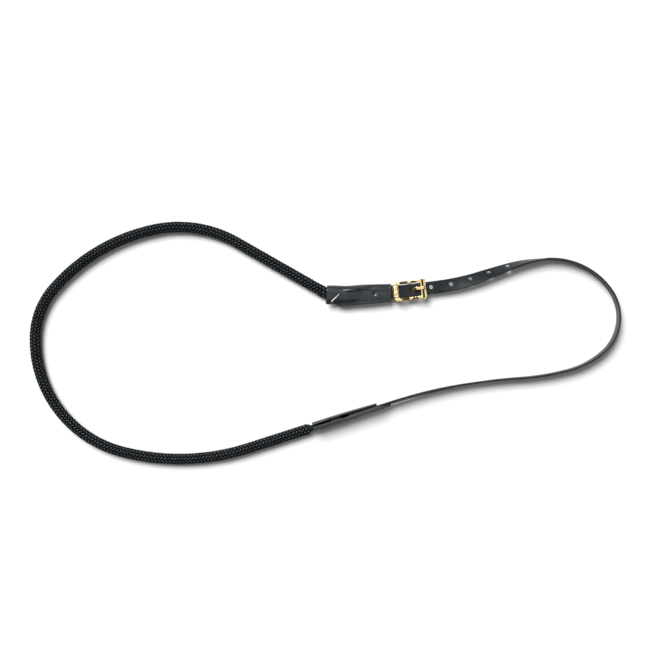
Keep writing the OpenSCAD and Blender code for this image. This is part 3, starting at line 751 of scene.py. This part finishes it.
# ---- Buckle sleeve: a sheet folded along +Y, open along -Y ------------------------------------------
def placed(points, place):
    """Points in a sleeve's own frame, put at a place on the ground."""
    points = np.asarray(points, float)
    c, s = cosd(place[2]), sind(place[2])
    return np.stack([place[0] + c * points[..., 0] - s * points[..., 1],
                     place[1] + s * points[..., 0] + c * points[..., 1], points[..., 2]], axis=-1)


BLIND_HOLE = (SLEEVE_A_LEN - 21, -3.0)
SHEAR_A = (0.10, 0.03)                         # slant of the sleeve's mouth and of its buckle end
HUMP, HOLLOW = 0.75, 0.55                      # the upper face over the rope's end, and past it
RIDGE_H, RIDGE_W = 1.05, 1.7                   # a raised fold that runs on from the rope's end
CREASE_W, CREASE_DEPTH = 0.45, 0.22
SUNK_W, SUNK_DEPTH = 1.3, 0.28                 # sunk leather round the punched hole


def open_edge_a(x):
    """How far the sleeve's open edges reach towards -Y at x."""
    return float(np.interp(x, [0, 11, 18, SLEEVE_A_LEN], [13.4, 13.4, 17.3, 13.3]))


def fold_edge_a(x):
    """Outside of the fold: a little hollow between the rope's end and the buckle."""
    return FOLD_Y - 0.05 - 1.35 * bell(x - 26, 14) - 0.7 * float(ramp(x, 25, SLEEVE_A_LEN))


def upper_face_a(x, y):
    """How far the upper sheet stands above an even one at x, y."""
    over_rope = ease(ramp(x, 48, 34))
    past_rope = 1 - over_rope
    middle = bell(y + 0.5, 7.5)
    bulge = (HUMP * over_rope - HOLLOW * past_rope) * middle
    droop = -1.5 * over_rope * ease(ramp(y, -7.5, -16)) - 0.6 * past_rope * ease(ramp(y, -4, -14))
    crest = 2.6 + 2.6 * ease(ramp(x, 24, 52))
    ridge = RIDGE_H * bell(y - crest, RIDGE_W) * ease(ramp(x, 20, 29)) * ease(ramp(x, 60, 46))
    return bulge + droop + ridge - 0.25 + 0.12 * math.sin(x / 5.0 + y / 4.0)


def sleeve_a_point(x, w):
    """Middle of the sheet: w is -1 at the lower open edge, 0 at the fold and 1 at the upper edge."""
    half = (SLEEVE_A_H - LEATHER) / 2
    fold = fold_edge_a(x) - LEATHER / 2
    bend = math.pi * half
    run = abs(w) * (bend / 2 + fold - half + open_edge_a(x))
    if run < bend / 2:
        angle = run / half
        y, dz = fold - half + half * math.cos(angle), half * math.sin(angle)
    else:
        y, dz = fold - half - (run - bend / 2), half
    z = SLEEVE_A_H / 2 + (dz + upper_face_a(x, y) if w > 0 else -dz)
    slant = SHEAR_A[0] + (SHEAR_A[1] - SHEAR_A[0]) * x / SLEEVE_A_LEN
    return (x + slant * (y + 2), y, z)


def sleeve_a_relief(points, row_w):
    """Creased lines along the fold, the open edge and the buckle end, and a sunk rim round the hole."""
    x, y = points[..., 0], points[..., 1]
    fold_line = bell(y - (FOLD_Y - 5.4), CREASE_W) * (x > 2)
    end_line = bell(x - (SLEEVE_A_LEN - 2.6), CREASE_W)
    open_line = bell(y + 10.2 + (SLEEVE_A_LEN - x) * 0.05, CREASE_W) * (x > 30)
    crease = np.clip(fold_line + end_line + open_line, 0, 1) * CREASE_DEPTH
    from_hole = np.hypot(x - BLIND_HOLE[0], y - BLIND_HOLE[1]) - HOLE_R
    return -(crease + SUNK_DEPTH * bell(from_hole, SUNK_W)) * (row_w > 0)


def make_sleeve_a():
    xs = rim_spaced(0, SLEEVE_A_LEN, 0.7)
    ws = dense_ends((0, 0.004, 0.012, 0.028), 0.94, 92)[::-1]
    grid = np.array([[sleeve_a_point(x, w) for w in ws] for x in xs])
    relief = sleeve_a_relief(grid, np.broadcast_to(ws, grid.shape[:2]))
    piece = sheet("sleeve_a_leather", placed(grid, MOUTH_A), LEATHER, relief=relief, face=GLOSSY_FACE)
    hole_line = np.array([[*BLIND_HOLE, SLEEVE_A_H], [*BLIND_HOLE, SLEEVE_A_H - LEATHER]])
    return punch(piece, [punched_hole(*placed(hole_line, MOUTH_A))])


sleeve_a = make_sleeve_a()
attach(sleeve_a, "root")
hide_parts("buckle_sleeve")


# ---- Strap sleeve: a sheet folded under the strap, standing on its fold and leaning in ---------------
LEAN_PIVOT = SLEEVE_B_T / 2 + (SLEEVE_STRAP_Z - SLEEVE_B_T / 2) / cosd(SLEEVE_B_LEAN)


def lean_b(points):
    """From the upright sleeve's frame to the leaning one's."""
    points = np.asarray(points, float)
    y, z = points[..., 1], points[..., 2] - LEAN_PIVOT
    c, s = cosd(-SLEEVE_B_LEAN), sind(-SLEEVE_B_LEAN)
    leaning = [points[..., 0], SLEEVE_B_SHIFT + c * y - s * z, SLEEVE_STRAP_Z + s * y + c * z]
    return np.stack(leaning, axis=-1)


def sleeve_b_thickness(x):
    stops = [0, SLEEVE_B_TAPER_X, SLEEVE_B_LEN]
    return float(np.interp(x, stops, [SLEEVE_B_T, SLEEVE_B_T, SLEEVE_B_END_T]))


def flaps_closing(x):
    """How far the top edge of each flap is drawn in towards the strap."""
    return float(np.interp(x, [0, 22, 45, SLEEVE_B_LEN], [2.5, 1.9, 1.7, 0.9]))


def sleeve_b_reach(w, height):
    """How far the sheet runs along the strap on the inner flap, w below 0, and on the pointed outer one."""
    if w < 0:
        return SLEEVE_B_LEN
    if height < LEAN_PIVOT:
        point = float(ramp(height, 1, LEAN_PIVOT - 1))
    else:
        point = 1 - 0.95 * float(ramp(height, LEAN_PIVOT + 1, SLEEVE_B_H))
    return SLEEVE_B_LEN + SLEEVE_B_POINT * point


def sleeve_b_point(u, w):
    """Middle of the sheet: w is -1 at the inner flap's top edge, 0 under the fold, 1 at the outer one's."""
    half = (SLEEVE_B_T - LEATHER) / 2
    bend = math.pi * half
    run = abs(w) * (bend / 2 + SLEEVE_B_H - SLEEVE_B_T / 2)
    sign = 1 if w > 0 else -1
    straight = max(0.0, run - bend / 2)
    angle = min(run / half, math.pi / 2)
    height = SLEEVE_B_T / 2 - half * math.cos(angle) + straight
    x = u * sleeve_b_reach(w, height)
    half_here = (sleeve_b_thickness(x) - LEATHER) / 2
    pinch = ease(ramp(height, 15.5, SLEEVE_B_H))
    dent = 0.5 * bell(height - 10, 5) * bell(x - 20, 16)
    y = sign * (pinch * flaps_closing(x) - half_here * math.sin(angle) - dent)
    wave = 0.5 * math.sin(x / 13 + sign) * pinch
    z = LEATHER / 2 + half - half_here * math.cos(angle) + straight + wave
    return (x, y, z)


def make_sleeve_b():
    us = (1 + dense_ends((0, 0.0024, 0.008, 0.018), 0.964, 116)) / 2
    ws = dense_ends((0, 0.005, 0.015, 0.034), 0.93, 70)
    grid = np.array([[sleeve_b_point(u, w) for w in ws] for u in us])
    # the sleeve's cut edges take the paler copy of the edge finish, a painted highlight
    return sheet("sleeve_b_leather", placed(lean_b(grid), SLEEVE_B_PLACE), LEATHER, edge=PAINTED_LIT_EDGE)


sleeve_b = make_sleeve_b()
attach(sleeve_b, "root")
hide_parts("strap_sleeve")


# ---- Strap -----------------------------------------------------------------------------------------
TWIST_FROM, TWIST_TO = 38.0, 180.0
STRAP_STANDS_Z = STRAP_W / 2 + 0.05
CREASE_INSET = 1.7                             # of the creased line along each edge of the strap


def strap_roll(s):
    """0 lies flat; 90 stands on edge with the grain side facing out of the loop."""
    lean = SLEEVE_B_LEAN * ease(ramp(s, STRAP_OUT - 170, STRAP_OUT - 40))
    return float(90 * ramp(s, TWIST_FROM, TWIST_TO) - lean)


def strap_height(s):
    stand = (STRAP_STANDS_Z - STRAP_Z) * ease(ramp(s, TWIST_FROM, TWIST_TO))
    lift = (SLEEVE_STRAP_Z - STRAP_STANDS_Z) * ease(ramp(s, STRAP_OUT - 120, STRAP_OUT - 5))
    return float(STRAP_Z + stand + lift)


def strap_frame(s):
    x, y, heading = place_at((0, 0, 0), FULL_STRAP_RUN, s)
    roll = strap_roll(s)
    return np.array([x, y, strap_height(s)]), across(heading, roll), up(heading, roll)


def make_strap():
    half = STRAP_W / 2
    stops = rim_spaced(-TAIL_LEN, STRAP_OUT + STRAP_INSET, 1.0)
    widths = rim_spaced(-half, half, 1.0)
    free_holes = [FIRST_HOLE + HOLE_PITCH * i for i in range(FREE_HOLES)]
    grid = np.zeros((len(stops), len(widths), 3))
    relief = np.zeros((len(stops), len(widths)))
    for i, s in enumerate(stops):
        narrowed = 1 - 0.45 * ease(ramp(s, -TAIL_LEN + 6, -TAIL_LEN))
        centre, side, top = strap_frame(s)
        for j, w in enumerate(widths):
            grid[i, j] = centre + side * w * narrowed
            from_hole = min(math.hypot(s - h, w - ROW_Y) for h in [PRONG_HOLE_X] + free_holes) - HOLE_R
            from_crease = abs(w) - (half - CREASE_INSET)
            relief[i, j] = -0.22 * bell(from_hole, 1.2) - 0.1 * bell(from_crease, 0.35)
    piece = sheet("strap_leather", grid, STRAP_T, rim=0.55, rounding=1.1, relief=relief)
    cutters = []
    for s in free_holes:
        centre, side, top = strap_frame(s)
        middle = centre + side * ROW_Y
        cutters.append(punched_hole(middle + top * STRAP_T / 2, middle - top * STRAP_T / 2))
    punch(piece, cutters)
    places = [np.array([PRONG_HOLE_X + k * PRONG_HOLE_STRETCH, ROW_Y, STRAP_Z]) for k in (-1, 0, 1)]
    places.append(placed(np.array([*BLIND_HOLE, STRAP_Z]), MOUTH_A))
    for place in places:
        punch(piece, [cylinder_between(place - [0, 0, 4], place + [0, 0, 4], HOLE_R)], wall=EDGE)
    return piece


strap = make_strap()
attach(strap, "strap")
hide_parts("adjusting_strap")


# ---- Chape: the loop of leather that holds the centre bar --------------------------------------------
CHAPE_W, CHAPE_LEN, CHAPE_T, CHAPE_R = 14.6, 58.0, 1.2, 2.8
CHAPE_SLOT_X, CHAPE_SLOT_W = -5.5, 4.4
CHAPE_SEAM = 0.65                              # half the distance between the layers' middles
CHAPE_WRAP_X = 1.125                           # middle of the bend round the bar


def chape_line():
    """Middle of the chape's sheet in side view: in along the bottom, round the bar and back on top."""
    half = CHAPE_R - CHAPE_T / 2

    def layer(x):
        return CHAPE_SEAM + (half - CHAPE_SEAM) * float(ease(ramp(x, -14, -2)))

    line = [(x, -CHAPE_SEAM) for x in np.linspace(-CHAPE_LEN, -15, 50)]
    line += [(x, -layer(x)) for x in np.linspace(-14, CHAPE_WRAP_X, 20)]
    line += [(CHAPE_WRAP_X + half * sind(a), -half * cosd(a)) for a in np.linspace(8, 172, 22)]
    line += [(x, layer(x)) for x in np.linspace(CHAPE_WRAP_X, -14, 20)]
    line += [(x, CHAPE_SEAM) for x in np.linspace(-15, -CHAPE_LEN, 50)]
    return line


def on_chape(points):
    """Points in the chape's own frame, which is turned with the buckle sleeve about the bar."""
    return placed(points, (0, 0, -SKEW))


def make_chape():
    widths = rim_spaced(-CHAPE_W / 2, CHAPE_W / 2, 0.9)
    grid = np.array([[(x, w, BAR_Z + z) for w in widths[::-1]] for x, z in chape_line()])
    piece = sheet("chape_leather", on_chape(grid), CHAPE_T, rounding=0.5)
    half = CHAPE_SLOT_W / 2
    low, high = -1, 20
    side_ys = (ROW_Y - half, ROW_Y + half)
    corners = [(x, y, z) for x in (CHAPE_SLOT_X, 16) for y in side_ys for z in (low, high)]
    faces = [[0, 1, 3, 2], [4, 6, 7, 5], [0, 4, 5, 1], [2, 3, 7, 6], [0, 2, 6, 4], [1, 5, 7, 3]]
    punch(piece, [(on_chape(corners), faces)], wall=EDGE)
    round_end = on_chape([(CHAPE_SLOT_X, ROW_Y, low), (CHAPE_SLOT_X, ROW_Y, high)])
    return punch(piece, [cylinder_between(*round_end, half)], wall=EDGE)


chape = make_chape()
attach(chape, "root")
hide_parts("buckle_chape")


# ---- Stitches and bar tacks --------------------------------------------------------------------------
STITCH_R, TACK_THREAD_R = 0.36, 0.24
UPWARD = [0, 0, 1]


def stitch(a, b, lift):
    """One stitch: a short length of thread that dips into the leather at both ends."""
    a, b, lift = (np.asarray(v, float) for v in (a, b, lift))
    t = np.linspace(0, 1, 11)
    rise = np.sin(math.pi * t) ** 0.6
    path = a + (b - a) * t[:, None] + lift * (rise * 0.75 - 0.45)[:, None] * STITCH_R
    taper = 0.45 + 0.55 * np.sin(math.pi * np.clip(t, 0.04, 0.96)) ** 0.5
    return tube_along(path, STITCH_R, sides=8, taper=taper)


def stitch_row(point_at, count, lift, pitch=STITCH_PITCH):
    """Stitches along a line; point_at gives the point at a distance along it."""
    return [stitch(point_at(pitch * i), point_at(pitch * i + STITCH_LEN), lift) for i in range(count)]


def point_along(start, turn, s):
    return (start[0] + s * cosd(turn), start[1] + s * sind(turn))


def sleeve_a_top(x, y):
    """A point on the upper face of the buckle sleeve."""
    half = (SLEEVE_A_H - LEATHER) / 2
    fold = fold_edge_a(x) - LEATHER / 2
    bend = math.pi * half
    w = (fold - half - y + bend / 2) / (bend / 2 + fold - half + open_edge_a(x))
    x, y, z = sleeve_a_point(x, w)
    return placed([x, y, z + LEATHER / 2], MOUTH_A)


EDGE_ROW_START, EDGE_ROW_TURN = (19, -14.2), 4.8
MOUTH_ROW_START, MOUTH_ROW_TURN, MOUTH_ROW_PITCH = (2.5, -4.5), 90, 5


def row_on_a(start, turn, count, pitch=STITCH_PITCH):
    return stitch_row(lambda s: sleeve_a_top(*point_along(start, turn, s)), count, UPWARD, pitch)


sewn("sleeve_a_thread", row_on_a(EDGE_ROW_START, EDGE_ROW_TURN, 6)
     + row_on_a(MOUTH_ROW_START, MOUTH_ROW_TURN, 2, MOUTH_ROW_PITCH), "buckle_sleeve_stitches")


def sleeve_b_face(x, height):
    """A point on the outer flap's face, leaning with the sleeve."""
    bend = math.pi * (SLEEVE_B_T - LEATHER) / 2
    w = (height - SLEEVE_B_T / 2 + bend / 2) / (bend / 2 + SLEEVE_B_H - SLEEVE_B_T / 2)
    u = x / sleeve_b_reach(1, height)
    point = np.array(sleeve_b_point(u, w)) - [0, LEATHER / 2, 0]
    return placed(lean_b(point), SLEEVE_B_PLACE)


OUT_OF_B = np.subtract(*(placed(lean_b([0, y, LEAN_PIVOT]), SLEEVE_B_PLACE) for y in (-1, 0)))
FLAP_ROW_X, FLAP_ROW_INSET = 4, 2.5
CHAPE_ROW_X, CHAPE_ROW_Y = -50, 5
CHAPE_TOP = BAR_Z + CHAPE_SEAM + CHAPE_T / 2


def flap_row_point(s):
    return sleeve_b_face(FLAP_ROW_X + s, SLEEVE_B_H - FLAP_ROW_INSET)


def chape_row(side):
    return stitch_row(lambda s: on_chape([CHAPE_ROW_X + s, side, CHAPE_TOP]), 7, UPWARD)


sewn("sleeve_b_thread", stitch_row(flap_row_point, 8, OUT_OF_B), "strap_sleeve_stitches")
sewn("chape_thread", chape_row(-CHAPE_ROW_Y) + chape_row(CHAPE_ROW_Y), "chape_stitches")


def bar_tack(name, line, half_widths, node, lift):
    """A satin-stitched bar: parallel threads laid over a line, from one half width to the other."""
    line, lift = np.asarray(line, float), np.asarray(lift)
    way = np.gradient(line, axis=0)
    way /= np.linalg.norm(way, axis=1, keepdims=True)
    side = np.cross(way, lift) * np.linspace(*half_widths, len(line))[:, None]
    taper = 0.5 + 0.5 * np.sin(np.linspace(0.15, math.pi - 0.15, len(line)))
    threads = []
    for k in np.linspace(-1, 1, 4):
        path = line + side * k + lift * (0.12 + 0.2 * (1 - k * k))
        threads.append(tube_along(path, TACK_THREAD_R, sides=8, taper=taper))
    sewn(name, threads, node, PALE_THREAD)


TACK_A_FROM, TACK_A_TURN, TACK_A_LEN = (6.4, -11.4), 44.5, 13.6
TACK_B_FROM, TACK_B_TO = (2.4, 8.2), (6.4, 15.1)
tack_a_line = [sleeve_a_top(*point_along(TACK_A_FROM, TACK_A_TURN, s))
               for s in np.linspace(0, TACK_A_LEN, 24)]
tack_b_line = [sleeve_b_face(*place) for place in np.linspace(TACK_B_FROM, TACK_B_TO, 16)]
bar_tack("tack_a_thread", tack_a_line, (0.5, 0.14), "buckle_sleeve_bar_tack", UPWARD)
bar_tack("tack_b_thread", tack_b_line, (0.35, 0.12), "strap_sleeve_bar_tack", OUT_OF_B)


# ---- Buckle ----------------------------------------------------------------------------------------
SHRINK, SWELL = 0.55, -0.4                     # in turn, so that smoothing takes no metal away


def cast_copy(node, name, voxel_mm, rounds, body):
    """A rounded, cast-looking stand-in for a CAD node, remeshed and smoothed from its own shape."""
    piece = bpy.data.objects.new(name, frame["nodes"][node].data.copy())
    bpy.context.scene.collection.objects.link(piece)
    remesh = piece.modifiers.new("remesh", "REMESH")
    remesh.mode = "VOXEL"
    remesh.voxel_size = voxel_mm * MM
    apply_modifiers(piece)
    mesh = piece.data
    mesh.materials.clear()
    mesh.materials.append(BRASS)
    points = read(mesh.vertices, "co", 3)
    edges = read(mesh.edges, "vertices", 2, np.int64)
    neighbours = np.bincount(edges.ravel(), minlength=len(points))[:, None]
    for i in range(rounds):
        total = np.zeros_like(points)
        np.add.at(total, edges[:, 0], points[edges[:, 1]])
        np.add.at(total, edges[:, 1], points[edges[:, 0]])
        points += (SWELL if i % 2 else SHRINK) * (total / neighbours - points)
    mesh.vertices.foreach_set("co", points.ravel())
    mesh.shade_smooth()
    mesh.update()
    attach(piece, body)
    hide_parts(node)
    return piece


END_BAR_X = 17.5                               # middle of each end bar of the buckle
GROOVE_DEPTH, HATCH_DEPTH, BORDER_DEPTH = 1.5, 0.5, 0.3
PANEL_HALF_X, PANEL_HALF_Y = 2.5, 8.5
HATCH_PITCH = 2.4


def carve_buckle(piece):
    """A groove on the outer end bar and a hatched panel on the inner one, both marked for painted shade."""
    mesh = piece.data
    points = from_frame(read(mesh.vertices, "co", 3))
    x, y, from_middle = points[:, 0], points[:, 1], np.abs(points[:, 1])
    up_facing = ease(ramp(read(mesh.vertex_normals, "vector", 3)[:, 2], 0.3, 0.8))
    beside_prong = ease(ramp(np.abs(y - ROW_Y), 1.9, 2.5))
    across_groove = np.exp(-((x - END_BAR_X + 0.4) / 0.75) ** 4)
    groove = across_groove * ease(ramp(from_middle, 12.0, 11.0)) * beside_prong
    from_panel = np.abs(x + END_BAR_X)
    panel = ease(ramp(from_panel, PANEL_HALF_X + 0.2, PANEL_HALF_X - 0.2)) * (x < 0)
    panel = panel * ease(ramp(from_middle, PANEL_HALF_Y + 0.3, PANEL_HALF_Y - 0.3))
    border = bell(np.maximum(from_panel - PANEL_HALF_X, from_middle - PANEL_HALF_Y), 0.3) * (x < -10)
    waves = [0.5 + 0.5 * np.cos(line * 2 * math.pi / HATCH_PITCH) for line in (x + y, x - y)]
    cut = GROOVE_DEPTH * groove + HATCH_DEPTH * waves[0] * waves[1] * panel + BORDER_DEPTH * border
    points[:, 2] -= cut * up_facing
    # painted shade: the depth of each cut sets how dark the brass is painted there
    painted_shade = mesh.attributes.new("painted_shade", "FLOAT", "POINT")
    painted_shade.data.foreach_set("value", np.clip(cut / 0.6, 0, 1).astype(np.float32))
    mesh.vertices.foreach_set("co", to_frame(points).ravel())
    mesh.update()


def narrow_prong(piece):
    """The prong narrows to a wedge where it dives through the strap."""
    mesh = piece.data
    points = from_frame(read(mesh.vertices, "co", 3))
    x = points[:, 0]
    width = 0.45 + 0.65 * ease(ramp(x, 3.8, 7.0)) + 0.55 * ease(ramp(x, 3.4, 1.5))
    points[:, 1] = ROW_Y + (points[:, 1] - ROW_Y) * width
    mesh.vertices.foreach_set("co", to_frame(points).ravel())
    mesh.update()


carve_buckle(cast_copy("buckle_frame", "buckle_cast", 0.28, 10, "buckle"))
narrow_prong(cast_copy("buckle_prong", "prong_cast", 0.2, 8, "prong"))
bar = frame["nodes"]["centre_bar"]
bar.data.materials.clear()
bar.data.materials.append(BRASS)
bar.data.shade_smooth()
bar.data.set_sharp_from_angle(angle=math.radians(SHARP))


# ---- Floor, light and camera -------------------------------------------------------------------------
CAMERA_HEIGHT = 1.35
CAMERA_TARGET = (-112.1, -29.9)                # the point on the ground under the camera
CAMERA_TURN = -7.3                             # degrees from the frame's +X to the picture's right
PICTURE_WIDTH = 0.832                          # metres of ground across the picture
SENSOR_WIDTH = 36
WORLD_STRENGTH = 1.0
LIT_FROM, LIT_TO = 0.91, 0.97                  # the sky is dark below, bright above
KEY_STRENGTH = 3.95
KEY_SPREAD = 34                                # degrees across the light, seen from the object
FLOOR_HALF = 6.0


def make_floor():
    corners = [(x * FLOOR_HALF, y * FLOOR_HALF, 0) for x, y in ((-1, -1), (1, -1), (1, 1), (-1, 1))]
    mesh = bpy.data.meshes.new("floor")
    mesh.from_pydata(corners, [], [[0, 1, 2, 3]])
    floor = bpy.data.objects.new("floor", mesh)
    bpy.context.scene.collection.objects.link(floor)
    m = Shader("floor")
    mesh.materials.append(m.finish(Base_Color=grey(0.93), Roughness=0.95, Specular_IOR_Level=0.1))


def make_world():
    world = bpy.data.worlds.new("studio")
    bpy.context.scene.world = world
    world.use_nodes = True
    tree = world.node_tree
    background = tree.nodes["Background"]
    coords = tree.nodes.new("ShaderNodeTexCoord")
    split = tree.nodes.new("ShaderNodeSeparateXYZ")
    brightness = tree.nodes.new("ShaderNodeValToRGB")
    tree.links.new(coords.outputs["Generated"], split.inputs[0])
    tree.links.new(split.outputs["Z"], brightness.inputs["Fac"])
    tree.links.new(brightness.outputs["Color"], background.inputs["Color"])
    stops = brightness.color_ramp.elements
    stops[0].position, stops[0].color = LIT_FROM, grey(0.08)
    stops[1].position, stops[1].color = LIT_TO, grey(0.95)
    background.inputs["Strength"].default_value = WORLD_STRENGTH


def make_key_light():
    """A large soft light, far away, so that the floor is evenly lit."""
    data = bpy.data.lights.new("key", "SUN")
    data.energy = KEY_STRENGTH
    data.angle = math.radians(KEY_SPREAD)
    light = bpy.data.objects.new("key", data)
    bpy.context.scene.collection.objects.link(light)
    light.location = TO_LIGHT
    light.rotation_mode = "QUATERNION"
    light.rotation_quaternion = Vector(TO_LIGHT).to_track_quat("Z", "Y")


def make_camera():
    data = bpy.data.cameras.new("camera")
    data.sensor_width = SENSOR_WIDTH
    data.lens = SENSOR_WIDTH * CAMERA_HEIGHT / PICTURE_WIDTH
    data.clip_end = 20
    camera = bpy.data.objects.new("camera", data)
    bpy.context.scene.collection.objects.link(camera)
    target = to_frame([CAMERA_TARGET[0], CAMERA_TARGET[1], 0])
    camera.location = (target[0], target[1], CAMERA_HEIGHT)
    camera.rotation_euler = (0, 0, math.radians(CAMERA_TURN))
    bpy.context.scene.camera = camera


make_floor()
make_world()
make_key_light()
make_camera()
bpy.context.scene.view_settings.view_transform = "Standard"
